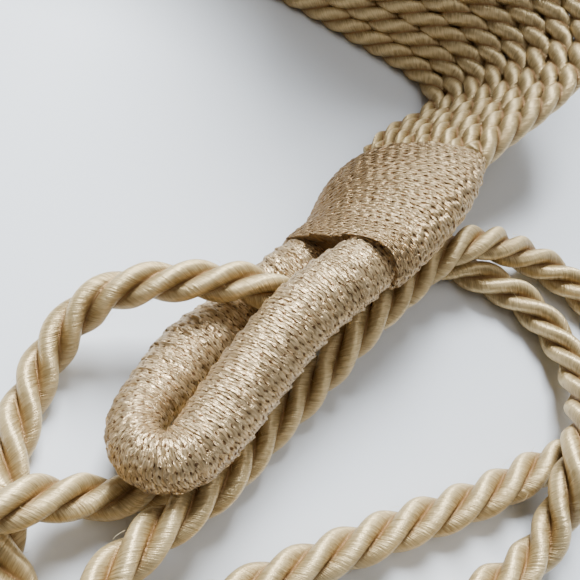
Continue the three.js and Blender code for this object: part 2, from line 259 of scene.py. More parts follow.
def satin_rope_finish(name, light, dark, groove_shade_colour):
    finish = new_finish(name)
    threads = stretched(finish, 3.4, 0.3, detail=4.0)
    bundles = stretched(finish, 1.2, 0.25, detail=2.0, seed=4.0)
    groove = put(finish, "Attribute", {"attribute_name": "groove"}).outputs["Fac"]
    fine_streaks = spread(finish, threads, 0.3, 0.7, -0.22, 0.22)
    broad_streaks = spread(finish, bundles, 0.3, 0.7, -0.15, 0.15)
    streaks = sums(finish, "ADD", fine_streaks, broad_streaks)
    # Painted light and shade: each strand is lighter on its crown and darker towards its grooves.
    painted_crown_light = spread(finish, groove, 0.1, 0.95, 0.85, 0.0)
    body = blend(finish, sums(finish, "ADD", painted_crown_light, streaks, clamp=True), dark, light)
    # Painted shade deep in the groove between strands.
    deep = spread(finish, groove, 0.76, 1.0, 0.0, 0.95)
    colours = blend(finish, deep, body, groove_shade_colour)
    height = sums(finish, "ADD", threads, sums(finish, "MULTIPLY", bundles, 0.9))
    return threaded(finish, colours, height, THREAD_RELIEF, Roughness=0.38, Specular_IOR_Level=0.8,
                    Metallic=0.5, Anisotropic=0.7)


satin_rope = satin_rope_finish("satin rope", ROPE_LIGHT, ROPE_SHADE_AND_DARK, ROPE_GROOVE_SHADE)
print("satin rope finish of", len(satin_rope.node_tree.nodes), "nodes")

# %% [markdown]
# The rope is three soft strands laid round each other. Seen from above on a rope that runs across the
# picture, the strands climb from lower left to upper right. A real strand is round but is pressed flat where
# it meets the others, so the rope's outline is three fat arcs that meet in a sharp groove. The rings turn
# with the strands, which keeps every groove on one line of points. The map leans too, so that the threads
# cross each strand at an angle, as they do in a rope twisted one way whose strands are twisted the other.

# %% Twisted rope
STRANDS = 3
FIBRE_LEAN = 1.1
FIBRE_FAN = 2.1
FIBRE_PACE = 0.87
STRANDS_APART = 37.0
SWELL = 0.018
SWELL_LONG = 7.3


def strand_outline(around, centre, strand):
    """Share of the full radius and depth in the groove, round the rope, for round strands."""
    per = around // STRANDS
    local = ((np.arange(around) % per) / per - 0.5) * (2 * math.pi / STRANDS)
    radius = centre * np.cos(local) + np.sqrt(strand**2 - (centre * np.sin(local)) ** 2)
    return radius, np.abs(local) / (math.pi / STRANDS)


def carried_frames(line):
    """Side and up directions carried along a line without twisting."""
    along = unit(np.gradient(line, axis=0))
    side = np.zeros_like(line)
    side[0] = unit(np.cross(UPWARDS, along[0]))
    for i in range(1, len(line)):
        kept = side[i - 1] - along[i] * (side[i - 1] @ along[i])
        side[i] = kept / np.linalg.norm(kept)
    return side, np.cross(along, side)


def twisted_rope(name, line, side, up, half_side, half_up, lay, start=0.0, around=36, centre=0.52,
                 strand=0.49):
    """A rope along line, an oval of the given half sizes, its strands turning once in lay mm.

    Centre and strand are shares of the radius: how far out a strand's middle lies, and how thick it is.
    """
    travelled = walked(line)
    radius, groove = strand_outline(around, centre, strand)
    per = around // STRANDS
    home = np.arange(around) / around * 2 * math.pi
    angle = home[None, :] - 2 * math.pi * travelled[:, None] / lay + start
    swell = 1 + SWELL * np.sin(travelled / SWELL_LONG + start)[:, None]
    x = np.cos(angle) * radius * swell * np.asarray(half_side)[..., None]
    y = np.sin(angle) * radius * swell * np.asarray(half_up)[..., None]
    rings = line[:, None] + side[:, None] * x[..., None] + up[:, None] * y[..., None]
    size = float(np.mean(half_side))
    push = FIBRE_PACE + FIBRE_LEAN * size * 2 * math.pi / lay

    def fibres(i, j, column):
        which = column // per
        fan = (j - which * per) / per - 0.5
        u = travelled[i] * push - FIBRE_LEAN * size * FIBRE_FAN * fan + STRANDS_APART * which
        return np.stack(np.broadcast_arrays(u, fan * size * FIBRE_FAN), -1)

    return ring_skin(name, rings, fibres, {"groove": groove[None, :]})

# %% Dressing a piece
def dress(piece, finish, node):
    piece.data.materials.append(finish)
    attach(piece, "root")
    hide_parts(node)

# %% [markdown]
# The tie cord is a fixed length of limp rope, six and a half millimetres thick. It starts where it is sewn
# under the first eye, loops out to the left, lies along the eye's outer side, swings round on the right and
# in front, climbs over the eye's near arm, drops through the slot and comes out on the right. Where it
# crosses itself it rides over in a long low hump.

# %% Tie cord
CORD_THICK = 6.6
CORD_LAY = 21.5
CORD_ROUTE = [
    (-5.9, -23.4, 7.6), (-8.0, -29.0, 5.8), (-9.9, -34.5, 3.9), (-11.3, -40.5, 3.4),
    (-13.1, -46.5, 3.4), (-16.7, -51.4, 3.4), (-21.9, -54.6, 4.3), (-26.4, -57.3, 7.5),
    (-30.6, -60.9, 10.1), (-35.3, -64.8, 9.5), (-39.7, -68.8, 7.8), (-43.2, -73.6, 6.0),
    (-45.0, -79.3, 4.4), (-44.2, -85.3, 3.6), (-40.7, -90.3, 3.4), (-35.2, -93.0, 3.4),
    (-29.1, -92.7, 3.6), (-24.0, -89.4, 4.4), (-20.7, -84.5, 6.1), (-18.8, -79.0, 8.2),
    (-17.5, -73.2, 10.1), (-16.0, -67.3, 10.3), (-13.9, -61.5, 9.8), (-11.4, -55.9, 8.8),
    (-8.6, -50.7, 7.0), (-5.9, -45.3, 5.8), (-4.0, -39.8, 3.8), (-2.0, -33.9, 3.4),
    (0.3, -28.2, 3.5), (2.4, -22.6, 5.2), (4.4, -17.4, 7.9), (6.3, -11.7, 9.1), (8.9, -6.1, 8.6),
    (11.5, -0.5, 8.7), (14.2, 5.0, 9.5), (17.8, 9.9, 10.3), (22.5, 13.8, 9.4), (27.4, 16.6, 6.9),
    (32.9, 18.5, 4.9), (38.9, 18.7, 3.6), (44.8, 16.7, 3.4), (50.2, 13.8, 3.4), (54.9, 9.7, 3.4),
    (58.0, 4.4, 3.4), (59.3, -1.6, 3.4), (58.2, -7.6, 3.4), (54.8, -12.8, 3.4), (50.0, -16.6, 3.4),
    (44.8, -19.9, 3.4), (40.3, -24.2, 3.4), (36.0, -28.7, 3.4), (31.5, -32.9, 3.4),
    (26.8, -36.9, 3.4), (22.0, -40.9, 3.4), (17.3, -45.0, 3.4), (12.7, -49.1, 3.4),
    (8.1, -53.2, 3.4), (3.5, -57.4, 3.4), (-1.0, -61.6, 3.4), (-5.7, -65.7, 3.4),
    (-10.9, -69.0, 3.4), (-16.8, -70.9, 3.4), (-22.9, -70.7, 3.4), (-28.2, -67.6, 3.4),
    (-31.8, -62.5, 3.4), (-34.6, -57.0, 3.4), (-36.5, -51.1, 3.4), (-37.8, -45.1, 3.4),
    (-38.2, -39.0, 4.4), (-37.3, -33.5, 7.0), (-34.7, -28.8, 10.1), (-30.2, -25.1, 12.2),
    (-24.9, -22.0, 12.9), (-19.4, -19.2, 12.9), (-13.8, -16.7, 12.3), (-8.1, -15.7, 10.1),
    (-2.8, -15.0, 6.7), (1.2, -11.7, 3.8), (3.9, -6.1, 3.4), (6.3, -0.4, 3.4), (9.4, 4.9, 3.4),
    (14.1, 9.0, 3.4), (19.9, 10.7, 3.4), (26.1, 10.4, 3.4), (32.2, 9.6, 3.4), (37.8, 7.0, 3.4),
    (42.4, 2.8, 3.8), (45.2, -2.5, 5.2), (46.2, -8.3, 7.0), (46.0, -14.1, 9.1), (45.1, -20.1, 10.3),
    (45.1, -25.9, 8.6), (45.1, -31.2, 5.4), (43.3, -36.8, 3.6), (39.7, -41.8, 3.4),
    (35.3, -46.2, 3.4), (31.0, -50.5, 3.4),
]
CORD_STEP = 0.8
PLUMP = 1.03


def soft_line(points, fine=10):
    """A smooth line through points that are about evenly spaced."""
    points = np.asarray(points, float)
    return smooth_rows(points, (len(points) - 1) * fine + 1)


cord_line, cord_along = even_steps(soft_line(CORD_ROUTE) + BELT_SHIFT, CORD_STEP)
cord_side, cord_up = carried_frames(cord_line)
half = np.full(len(cord_line), CORD_THICK / 2 * PLUMP)
tie_cord = twisted_rope("tie_cord_rope", cord_line, cord_side, cord_up, half, half, CORD_LAY, start=0.6)
dress(tie_cord, satin_rope, "tie_cord")
print("tie cord %.0f mm long" % cord_along[-1])

# %% [markdown]
# Soft satin sheds. A few hundred hairs, each a bent sliver thinner than the thread in a seam, stand out from
# the cord along its whole length and blur its edge against the table. They are one mesh of three-sided tubes.

# %% Stray hairs
HAIRS = 420
HAIR_THICK = 0.05
HAIR_LONG = (0.8, 2.4)
HAIR_LIFT = (0.1, 0.55)
HAIR_BEND = (-0.5, 0.5)
HAIR_POINTS = 6
HAIR_SIDES = 3
ABOVE_TABLE = 0.1
hair_chance = np.random.default_rng(11)


def one_hair(start, run, out, long, lift, bend):
    """The corners of one thin tube that leaves a rope at start, runs on and bends."""
    aside = np.cross(run, out)
    corners = []
    for k in range(HAIR_POINTS):
        t = k / (HAIR_POINTS - 1)
        middle = start + run * long * t + out * (lift * math.sin(2.2 * t)) + aside * bend * t * t
        middle[2] = max(middle[2], ABOVE_TABLE)
        thin = HAIR_THICK / 2 * (1 - 0.6 * t)
        for corner in range(HAIR_SIDES):
            a = 2 * math.pi * corner / HAIR_SIDES
            corners.append(middle + (out * math.cos(a) + aside * math.sin(a)) * thin)
    return corners


def stray_hairs(name, line, radius, side, up):
    """Short bent hairs that lift off a rope of this radius."""
    points, faces = [], []
    along = unit(np.gradient(line, axis=0))
    for _ in range(HAIRS):
        i = int(hair_chance.uniform(3, len(line) - 4))
        turn = hair_chance.uniform(0, 2 * math.pi)
        out = side[i] * math.cos(turn) + up[i] * math.sin(turn)
        over = np.cross(along[i], out)
        run = along[i] * hair_chance.uniform(-1, 1) + over * hair_chance.uniform(-1, 1)
        run /= np.linalg.norm(run)
        long, lift, bend = (hair_chance.uniform(*span) for span in (HAIR_LONG, HAIR_LIFT, HAIR_BEND))
        base = len(points)
        points += one_hair(line[i] + out * radius * 0.9, run, out, long, lift, bend)
        for k in range(HAIR_POINTS - 1):
            for corner in range(HAIR_SIDES):
                here = base + k * HAIR_SIDES + corner
                there = base + k * HAIR_SIDES + (corner + 1) % HAIR_SIDES
                faces.append((here, there, there + HAIR_SIDES, here + HAIR_SIDES))
    mesh = bpy.data.meshes.new(name)
    mesh.from_pydata([tuple(p * MM) for p in points], [], faces)
    return shown(name, mesh)


hairs = stray_hairs("tie_cord_hairs", cord_line, CORD_THICK / 2, cord_side, cord_up)
hair_finish = finished(new_finish("hair"), Base_Color=ROPE_LIGHT, Roughness=0.4)
dress(hairs, hair_finish, "tie_cord")

# %% [markdown]
# The cord's free end is stopped by an overhand knot. Pulled tight, its rope follows a three-lobed loop that
# passes over and under itself, and a short tail sticks out.

# %% Knot at the cord's end
KNOT_THICK = 4.6
KNOT_LAY = 16.0
KNOT_SCALE = 1.55
KNOT_RISE = 1.25
KNOT_LIFT = 0.6
KNOT_STEP = 0.7

knot_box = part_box("cord_knot")
knot_middle = (np.array(knot_box[0]) + np.array(knot_box[1])) / 2 / MM
heading = unit(knot_middle - cord_line[-1])
heading[2] = 0
heading = unit(heading)
lobe = np.linspace(0.35, 2 * math.pi - 0.1, 60)
knot_loop = np.stack([
    np.sin(lobe) + 2 * np.sin(2 * lobe),
    np.cos(lobe) - 2 * np.cos(2 * lobe),
    -KNOT_RISE * np.sin(3 * lobe),
], 1)
turned = np.stack([heading, np.cross(UPWARDS, heading), UPWARDS], 0)
knot_line = soft_line(knot_loop * KNOT_SCALE) @ turned + knot_middle + KNOT_LIFT * UPWARDS
knot_line, knot_along = even_steps(knot_line, KNOT_STEP)
print("knot tied in %.0f mm of rope" % knot_along[-1])
side, up = carried_frames(knot_line)
half = np.full(len(knot_line), KNOT_THICK / 2)
cord_knot = twisted_rope("cord_knot_rope", knot_line, side, up, half, half, KNOT_LAY, around=30)
dress(cord_knot, satin_rope, "cord_knot")

# %% [markdown]
# The band is eight of the same ropes, a little thinner, stitched side by side. Each row of the table below
# says where the band's lower edge stands, as shares of the curl's size, which way its width points and how
# steeply it rises, in degrees, and its width and depth as shares of the full ones. Towards the necks the
# ropes are pressed together, so they become narrow and deep.

# %% Band ropes
BAND_WIDE = 38.0
BAND_THICK = 5.2
BAND_ROPES = 8
BAND_LAY = 17.5
CURL = 200.0
BAND_ROUTE = [
    (0, 0, -8, 36, 0.66, 1.3),
    (0.008, 0.035, -6, 36, 0.72, 1.2),
    (0.022, 0.068, 0, 38, 0.82, 1.08),
    (0.037, 0.096, 12, 40, 0.92, 1),
    (0.042, 0.125, 32, 44, 1, 1),
    (0.027, 0.15, 56, 49, 1, 1),
    (-0.01, 0.167, 74, 55, 1, 1),
    (-0.065, 0.18, 80, 61, 1, 1),
    (-0.15, 0.197, 82, 66, 1, 1),
    (-0.25, 0.21, 86, 69, 1, 1),
    (-0.37, 0.212, 91, 70, 1, 1),
    (-0.49, 0.2, 99, 70, 1, 1),
    (-0.615, 0.164, 110, 70, 1, 1),
    (-0.738, 0.096, 125, 70, 1, 1),
    (-0.84, -0.006, 143, 70, 1, 1),
    (-0.904, -0.134, 162, 70, 1, 1),
    (-0.92, -0.276, 183, 70, 1, 1),
    (-0.884, -0.414, 203, 69, 1, 1),
    (-0.8, -0.53, 223, 66, 1, 1),
    (-0.685, -0.614, 240, 60, 1, 1),
    (-0.568, -0.664, 252, 50, 0.96, 1),
    (-0.468, -0.692, 262, 36, 0.84, 1.06),
    (-0.388, -0.701, 268, 24, 0.72, 1.2),
    (-0.338, -0.702, 270, 18, 0.66, 1.3),
]
BAND_START = (-4.037, 28.364)
BAND_STEP = 0.9
COARSE = 1200
FINE = 6000
TIGHTEST = 0.34
UNEVEN = 0.42
OVERLAP = 0.62


def leaning(aim, lean):
    """The directions across and through a flat thing that points at aim and rises by lean."""
    across = np.stack([np.cos(aim) * np.cos(lean), np.sin(aim) * np.cos(lean), np.sin(lean)], 1)
    through = np.stack([-np.cos(aim) * np.sin(lean), -np.sin(aim) * np.sin(lean), np.cos(lean)], 1)
    return across, through


def on_table(rows, height):
    """Where the band's lower edge runs, at a height above the table."""
    return np.stack([rows[:, 0] * CURL + BAND_START[0], rows[:, 1] * CURL + BAND_START[1], height], 1)


coarse_rows = smooth_rows(BAND_ROUTE, COARSE)
steps = walked(on_table(coarse_rows, np.zeros(COARSE)))
even = np.interp(np.arange(0, steps[-1], BAND_STEP), steps, np.linspace(0, 1, COARSE))
band_rows = smooth_rows(BAND_ROUTE, FINE)[np.minimum((even * (FINE - 1)).astype(int), FINE - 1)]
lean = np.radians(band_rows[:, 3])
across, through = leaning(np.radians(band_rows[:, 2]), lean)
wide, deep = band_rows[:, 4] * BAND_WIDE, band_rows[:, 5] * BAND_THICK
pitch = wide / BAND_ROPES
sink = 0.5 * pitch * np.sin(lean) - np.hypot(pitch / 2 * np.sin(lean), deep / 2 * np.cos(lean))
edge = on_table(band_rows, -sink) + BELT_SHIFT
print("band %.0f mm long" % steps[-1])

# %% [markdown]
# At the necks the ropes don't shrink alike: the ones at the lower edge are squeezed most and the ones at the
# top edge stay fat, so the places of the ropes shift across the band with the squeeze.

# %% Eight ropes side by side
squeeze = np.clip((1 - band_rows[:, 4]) / TIGHTEST, 0, 1)
middle_rope = (BAND_ROPES - 1) / 2
half_ropes = BAND_ROPES / 2
for k in range(BAND_ROPES):
    uneven = 1 + UNEVEN * squeeze * (k - middle_rope) / middle_rope
    moved_down = UNEVEN * squeeze * (half_ropes**2 - (k - middle_rope) ** 2) / (BAND_ROPES - 1)
    from_edge = (k + 0.5) - moved_down
    line = edge + across * (from_edge * pitch)[:, None]
    rope = twisted_rope("band_rope_%d" % (k + 1), line, across, -through, uneven * pitch * OVERLAP, deep / 2,
                        BAND_LAY, start=float(rope_chance.uniform(0, 2)), around=30, centre=0.42, strand=0.59)
    dress(rope, satin_rope, "woven_band")

# %% [markdown]
# The necks and eyes are wound with a narrow knitted ribbon. Its stitches lie in rows round the arm, each a
# short shiny bundle of threads that leans one way in one column and the other way in the next. Where four
# bundles meet, the knit leaves a dark pinhole. Each lap of the ribbon covers the edge of the lap before.
# The laps and the swell of each stitch are real relief, worked out here. The finish draws the same stitches
# again from the same map, far finer than points could, so the two share these named values: how far the
# columns sway and waver, and how the stitches of one column are staggered against the next.

# %% Knitted ribbon
STITCH_WIDE = 0.52
STITCH_LONG = 1.7
LAP_STITCHES = 6
SWAY, SWAY_RATE = 0.22, 0.9
WAVE, WAVE_ROUND, WAVE_ALONG = 0.15, 2.3, 0.7
STAGGER, STAGGER_RATE = 0.3, 2.4
SLANT = 0.42
HOLE_WIDE, HOLE_LONG = 0.34, 0.2
BUNDLE_RELIEF = 0.12
HOLE_RELIEF = 0.2
CREASE_RELIEF = 0.15
CREASE_WIDE = 0.05
LAP_WAVER, LAP_WAVER_RATE = 0.035, 0.8
PLEAT_LIFT = 0.3
PLEAT_CREASE = 0.35


def knitted(along, around, packed=1):
    """Swell and pinhole of the knit at places on the ribbon, in mm, with columns packed closer or not."""
    rows = around / STITCH_LONG
    columns = along / STITCH_WIDE + SWAY * np.sin(SWAY_RATE * rows)
    columns = (columns + WAVE * np.sin(WAVE_ROUND * rows + WAVE_ALONG * along)) * packed
    column = np.floor(columns)
    odd = np.mod(column, 2)
    x = columns - column - 0.5
    y = rows + 0.5 * odd + STAGGER * np.sin(STAGGER_RATE * column)
    y = y - np.floor(y) - 0.5
    away = x - (1 - 2 * odd) * SLANT * y
    bundle = np.sqrt(np.clip(1 - 4 * away**2, 0, 1)) * (0.45 + 0.55 * np.cos(2 * math.pi * y))
    corner = 0.5 - (1 - 2 * odd) * x
    hole = np.exp(-((corner / HOLE_WIDE) ** 2) - ((0.5 - np.abs(y)) / HOLE_LONG) ** 2)
    return bundle, hole


def wound(points, outwards, along, around, lap_lift=0.42, pleat=None, packed=1):
    """Points moved out by laps, stitches and pleats, with notes on the creases and on packed columns."""
    bundle, hole = knitted(along, around, packed)
    lap = along / (STITCH_WIDE * LAP_STITCHES) + LAP_WAVER * np.sin(around * LAP_WAVER_RATE)
    part = lap - np.floor(lap)
    fold = lap_lift * part**1.5
    # The crease note also carries painted shade, in the step between two laps and, below, in the folds of
    # pleats.
    crease = np.exp(-((part / CREASE_WIDE) ** 2))
    if pleat is not None:
        share, wave = pleat
        fold = fold * (1 - share) + share * lap_lift * PLEAT_LIFT * (1 + np.sin(wave))
        crease = crease * (1 - share) + PLEAT_CREASE * share * np.clip(-np.sin(wave), 0, 1) ** 8
    height = fold + BUNDLE_RELIEF * bundle - HOLE_RELIEF * hole - CREASE_RELIEF * crease
    moved = points + outwards * height[..., None]
    moved[..., 2] = np.maximum(moved[..., 2], ABOVE_TABLE)
    return moved, {"crease": crease, "packed": packed + 0.0 * crease}

# %% [markdown]
# The knit's finish works in two steps. The first finds the stitch that a point is in, by counting columns and
# rows on the ribbon's map, and gives each stitch its own chance numbers. The second builds the stitch: a
# swollen bundle of threads with a random tilt, so that some catch the light and some don't, and a pinhole.
# Three attributes of the mesh help: packed, where the columns run twice as close, crease, which puts painted
# shade in the line between two laps, and one that puts painted shade, darker and plainer, on a neck's left
# slope.

# %% Ribbon finish
# The dark colour is the tone of darker stitches and also painted shade; the pinhole colour is painted shade
# for pinholes and creases.
RIBBON_LIGHT = colour(236, 208, 162)
RIBBON_SHADE_AND_DARK = colour(150, 120, 82)
PINHOLE_AND_CREASE_SHADE = colour(92, 58, 28)
STITCH_RELIEF = 0.25


def ribbon_finish(name, light, dark, pinhole):
    finish = new_finish(name)

    def do(kind, a, b=0.0, clamp=False):
        return sums(finish, kind, a, b, clamp)

    def note(attribute):
        return put(finish, "Attribute", {"attribute_name": attribute}).outputs["Fac"]

    # Which stitch a point is in, and where in the stitch it lies
    place = put(finish, "UVMap", {"uv_map": "yarn"}).outputs[0]
    where = put(finish, "SeparateXYZ", None, Vector=place).outputs
    rows = do("DIVIDE", where[1], STITCH_LONG)
    sway = do("MULTIPLY", do("SINE", do("MULTIPLY", rows, SWAY_RATE)), SWAY)
    wave = do("SINE", do("ADD", do("MULTIPLY", rows, WAVE_ROUND), do("MULTIPLY", where[0], WAVE_ALONG)))
    wander = do("ADD", sway, do("MULTIPLY", wave, WAVE))
    columns = do("ADD", do("DIVIDE", where[0], STITCH_WIDE), wander)
    packed = do("GREATER_THAN", note("packed"), 1.5)
    columns = do("MULTIPLY", columns, do("ADD", packed, 1.0))
    column = do("FLOOR", columns)
    odd = do("FLOORED_MODULO", column, 2.0)
    hand = do("SUBTRACT", 1.0, do("MULTIPLY", odd, 2.0))
    x = do("SUBTRACT", do("SUBTRACT", columns, column), 0.5)
    stagger = do("MULTIPLY", do("SINE", do("MULTIPLY", column, STAGGER_RATE)), STAGGER)
    shift = do("ADD", do("MULTIPLY", odd, 0.5), stagger)
    y = do("ADD", rows, shift)
    row = do("FLOOR", y)
    y = do("SUBTRACT", do("SUBTRACT", y, row), 0.5)
    cell = put(finish, "CombineXYZ", None, X=column, Y=row).outputs[0]
    drawn = put(finish, "TexWhiteNoise", {"noise_dimensions": "2D"}, Vector=cell).outputs[1]
    chance = put(finish, "SeparateColor", None, Color=drawn).outputs

    # The bundle's swell, its pinhole and its threads
    slant = do("MULTIPLY", hand, do("ADD", 0.3, do("MULTIPLY", chance[0], 0.3)))
    away = do("SUBTRACT", x, do("MULTIPLY", slant, y))
    arch = do("SUBTRACT", 1.0, do("MULTIPLY", do("MULTIPLY", away, away), 4.0), clamp=True)
    across = do("POWER", arch, 0.5)
    lengthwise = do("ADD", 0.5, do("MULTIPLY", do("COSINE", do("MULTIPLY", y, 2 * math.pi)), 0.5))
    bundle = do("MULTIPLY", across, do("ADD", 0.55, do("MULTIPLY", lengthwise, 0.45)))
    corner = do("DIVIDE", do("SUBTRACT", 0.5, do("MULTIPLY", hand, x)), 0.45)
    end = do("DIVIDE", do("SUBTRACT", 0.5, do("ABSOLUTE", y)), 0.24)
    far = do("ADD", do("MULTIPLY", corner, corner), do("MULTIPLY", end, end))
    hole = spread(finish, do("ADD", far, do("MULTIPLY", chance[1], 1.1)), 0.65, 1.4, 1.0, 0.0)
    own_place = do("ADD", column, do("MULTIPLY", row, 7.0))
    strands = put(finish, "CombineXYZ", None, X=do("MULTIPLY", away, 9.0), Y=do("MULTIPLY", y, 1.6),
                  Z=own_place)
    threads = put(finish, "TexNoise", None, Vector=strands.outputs[0], Scale=1.0, Detail=1.0).outputs[0]
    tilt_long = do("MULTIPLY", do("SUBTRACT", chance[1], 0.5), do("MULTIPLY", y, 3.0))
    tilt_wide = do("MULTIPLY", do("SUBTRACT", chance[2], 0.5), do("MULTIPLY", x, 1.3))
    swollen = do("ADD", bundle, do("ADD", tilt_long, tilt_wide))
    height = do("ADD", do("SUBTRACT", swollen, hole), do("MULTIPLY", threads, 0.5))

    # Colours: each bundle is painted lighter on its crown than at its sides, each stitch has a random tone of
    # its own, and pinholes and creases get painted shade
    tone = do("ADD", do("MULTIPLY", bundle, 0.4), do("MULTIPLY", chance[0], 0.3))
    tone = do("ADD", tone, spread(finish, threads, 0.3, 0.7, 0.0, 0.35), clamp=True)
    # Painted shade on a neck's left slope: the tone there is darker and more even.
    tone = do("MULTIPLY", tone, do("SUBTRACT", 1.0, do("MULTIPLY", note("painted_slope_shade"), 0.75)))
    body = blend(finish, tone, dark, light)
    # Painted shade: pinholes, and creases between laps, in pleats and under the hem.
    shadow = do("ADD", do("MULTIPLY", hole, 0.85), do("MULTIPLY", note("crease"), 0.6), clamp=True)
    colours = blend(finish, shadow, body, pinhole)
    return threaded(finish, colours, height, STITCH_RELIEF, Roughness=0.29, Specular_IOR_Level=0.8,
                    Metallic=0.75, Anisotropic=0.5)


satin_ribbon = ribbon_finish("satin ribbon", RIBBON_LIGHT, RIBBON_SHADE_AND_DARK, PINHOLE_AND_CREASE_SHADE)
print("satin ribbon finish of", len(satin_ribbon.node_tree.nodes), "nodes")

# %% [markdown]
# An eye is a hairpin of wound cord. Its line comes from a table of shares, from one arm's root round the nose
# to the other's: how far out, how far aside, how high, and how wide and deep the arm is. The first eye's arms
# stand one above the other, because the neck is rolled on its side. Round the nose the ribbon is bunched on
# the inner side, so the laps give way to fine pleats there, and on the outer side its stitches are packed.

# %% Eyes
EYE_LONG = 40.0
EYE_SPREAD = 10.0
EYE_HIGH = 17.5
EYE_THICK = 10.8
SEAT_GAP = 0.3
SUNK = 0.25
PLEAT_LONG = 2.35
PACKED_FROM = 1.3
FIRST_EYE = [
    (0, -0.51, 0.26, 0.83, 0.66),
    (0.15, -0.52, 0.24, 0.84, 0.64),
    (0.38, -0.42, 0.26, 0.98, 0.76),
    (0.56, -0.37, 0.29, 1.02, 0.86),
    (0.72, -0.2, 0.33, 0.97, 0.86),
    (0.865, -0.03, 0.42, 0.84, 0.82),
    (0.952, 0.18, 0.53, 0.78, 0.8),
    (0.998, 0.46, 0.64, 0.75, 0.78),
    (0.998, 0.73, 0.71, 0.77, 0.79),
    (0.957, 0.96, 0.75, 0.81, 0.82),
    (0.88, 1.04, 0.76, 0.87, 0.85),
    (0.8, 1, 0.77, 0.93, 0.86),
    (0.7, 0.91, 0.78, 0.98, 0.87),
    (0.5, 0.71, 0.83, 1.01, 0.86),
    (0.26, 0.53, 0.93, 1.02, 0.8),
    (0.072, 0.5, 0.98, 1.02, 0.77),
    (0, 0.51, 0.99, 1.02, 0.77),
]


def placed(points, at, turn):
    """Points of an end, turned and set down where that end of the band stands."""
    c, s = math.cos(math.radians(turn)), math.sin(math.radians(turn))
    x = points[..., 0] * c - points[..., 1] * s + at[0]
    y = points[..., 0] * s + points[..., 1] * c + at[1]
    return np.stack([x, y, points[..., 2]], -1) + BELT_SHIFT


def ribbon_map(place, rows_around, around):
    """Where on the ribbon a corner lies, from its distance along the piece and its number round it.

    The ribbon starts at place, and each turn round the piece takes it on by one lap.
    """
    lead = LAP_STITCHES * STITCH_WIDE

    def on_ribbon(along, j):
        u = place + along + lead * j / around
        return np.broadcast_arrays(u, rows_around * STITCH_LONG * j / around + 0.0 * u)

    return on_ribbon


def wound_eye(name, rows, at, turn, step, around, place, nose, rows_around=18):
    """Ribbon round an eye. The nose says how far along the pleats lie, and how far they reach from there."""
    table, along = even_steps(smooth_rows(rows, 1500), step)
    line, wide, deep = table[:, :3], table[:, 3], table[:, 4]
    heading = unit(np.gradient(line, axis=0))
    across = unit(np.cross(heading, UPWARDS))
    through = np.cross(across, heading)
    angle = np.arange(around) / around * 2 * math.pi
    c, s = np.cos(angle)[None, :, None], np.sin(angle)[None, :, None]
    half_wide, half_deep = (wide / 2)[:, None, None], (deep / 2)[:, None, None]
    skin = line[:, None] + across[:, None] * c * half_wide + through[:, None] * s * half_deep
    outwards = unit(across[:, None] * c / half_wide + through[:, None] * s / half_deep)
    on_ribbon = ribbon_map(place, rows_around, around)
    u, v = on_ribbon(along[:, None], np.arange(around)[None, :])
    share = np.exp(-(((along - nose[0]) / nose[1]) ** 4))[:, None]
    pleat = (share, u / PLEAT_LONG * 2 * math.pi)
    spread_out = np.linalg.norm(np.gradient(skin, axis=0), axis=-1) / step
    packed = 1 + (spread_out > PACKED_FROM)
    moved, notes = wound(skin - outwards * SUNK, outwards, u, v, pleat=pleat, packed=packed)

    def yarn(i, j, column):
        return np.stack(on_ribbon(along[i], j), -1)

    return ring_skin(name, placed(moved, at, turn), yarn, notes)

# %% [markdown]
# The far arm swells a little where it meets the neck. Both arms go on into the neck, thinner, so that no gap
# opens behind the neck's hem.

# %% The first eye
FIRST_END = (-5.0, -9.75)
FIRST_TURN = -26.8
INTO_NECK = 6.5
SWOLLEN_ASIDE, SWOLLEN_UP = 0.5, 1.2
SWOLLEN_WIDE, SWOLLEN_DEEP = 1.14, 1.2
ROOT_WIDE, ROOT_DEEP = 0.9, 0.88

eye_rows = [(x * EYE_SPREAD, -SEAT_GAP - y * EYE_LONG, z * EYE_HIGH, wide * EYE_THICK, deep * EYE_THICK)
            for y, x, z, wide, deep in FIRST_EYE]
x, y, z, wide, deep = eye_rows[0]
eye_rows[0] = (x + SWOLLEN_ASIDE, y, z + SWOLLEN_UP, SWOLLEN_WIDE * wide, SWOLLEN_DEEP * deep)
low_root, high_root = [(x, INTO_NECK, z, ROOT_WIDE * wide, ROOT_DEEP * deep)
                       for x, y, z, wide, deep in (eye_rows[0], eye_rows[-1])]
eye_rows = [low_root] + eye_rows + [high_root]
eye = wound_eye("eye_winding", eye_rows, FIRST_END, FIRST_TURN, step=0.2, around=160, place=0.0,
                nose=(52.5, 14.0))
dress(eye, satin_ribbon, "eye_loop")

# %% [markdown]
# The neck gathers the band's ropes into a padded oval. The ribbon comes up round its left side, so the laps
# climb along the neck there and lie square across it on the right. The table gives, in shares, how far along
# the neck a row is, how far aside and how high, then which way it points and leans, and its width and depth.

# %% Necks
NECK_LONG = 39.0
NECK_WIDE = 26.5
NECK_DEEP = 14.0
NECK_HIGH = 11.0
NECK_LIFT = 0.5
RIM_WIDE, RIM_DEEP = 1.05, 0.86
# LEFT_SLOPE and SLOPE_WIDE place the painted shade on a neck's left slope: its middle and its width, in
# degrees round the neck.
LEFT_SLOPE, SLOPE_WIDE = 140, 50
NO_CLIMB, CLIMB_OVER = 170, 110
HEM_WIDER, HEM_DEEPER = 0.05, 0.12
FIRST_NECK = [
    (0, 0, 1, 0, 48, 0.94, 0.7),
    (0.14, 0.01, 1.02, 2, 46, 1, 0.82),
    (0.3, 0, 1.03, 6, 43, 1.06, 0.9),
    (0.58, -0.11, 1.01, 13, 39, 1.15, 0.92),
    (0.8, -0.2, 0.95, 17, 37, 1.1, 0.8),
    (0.96, -0.25, 0.9, 19, 36, 0.95, 0.6),
]


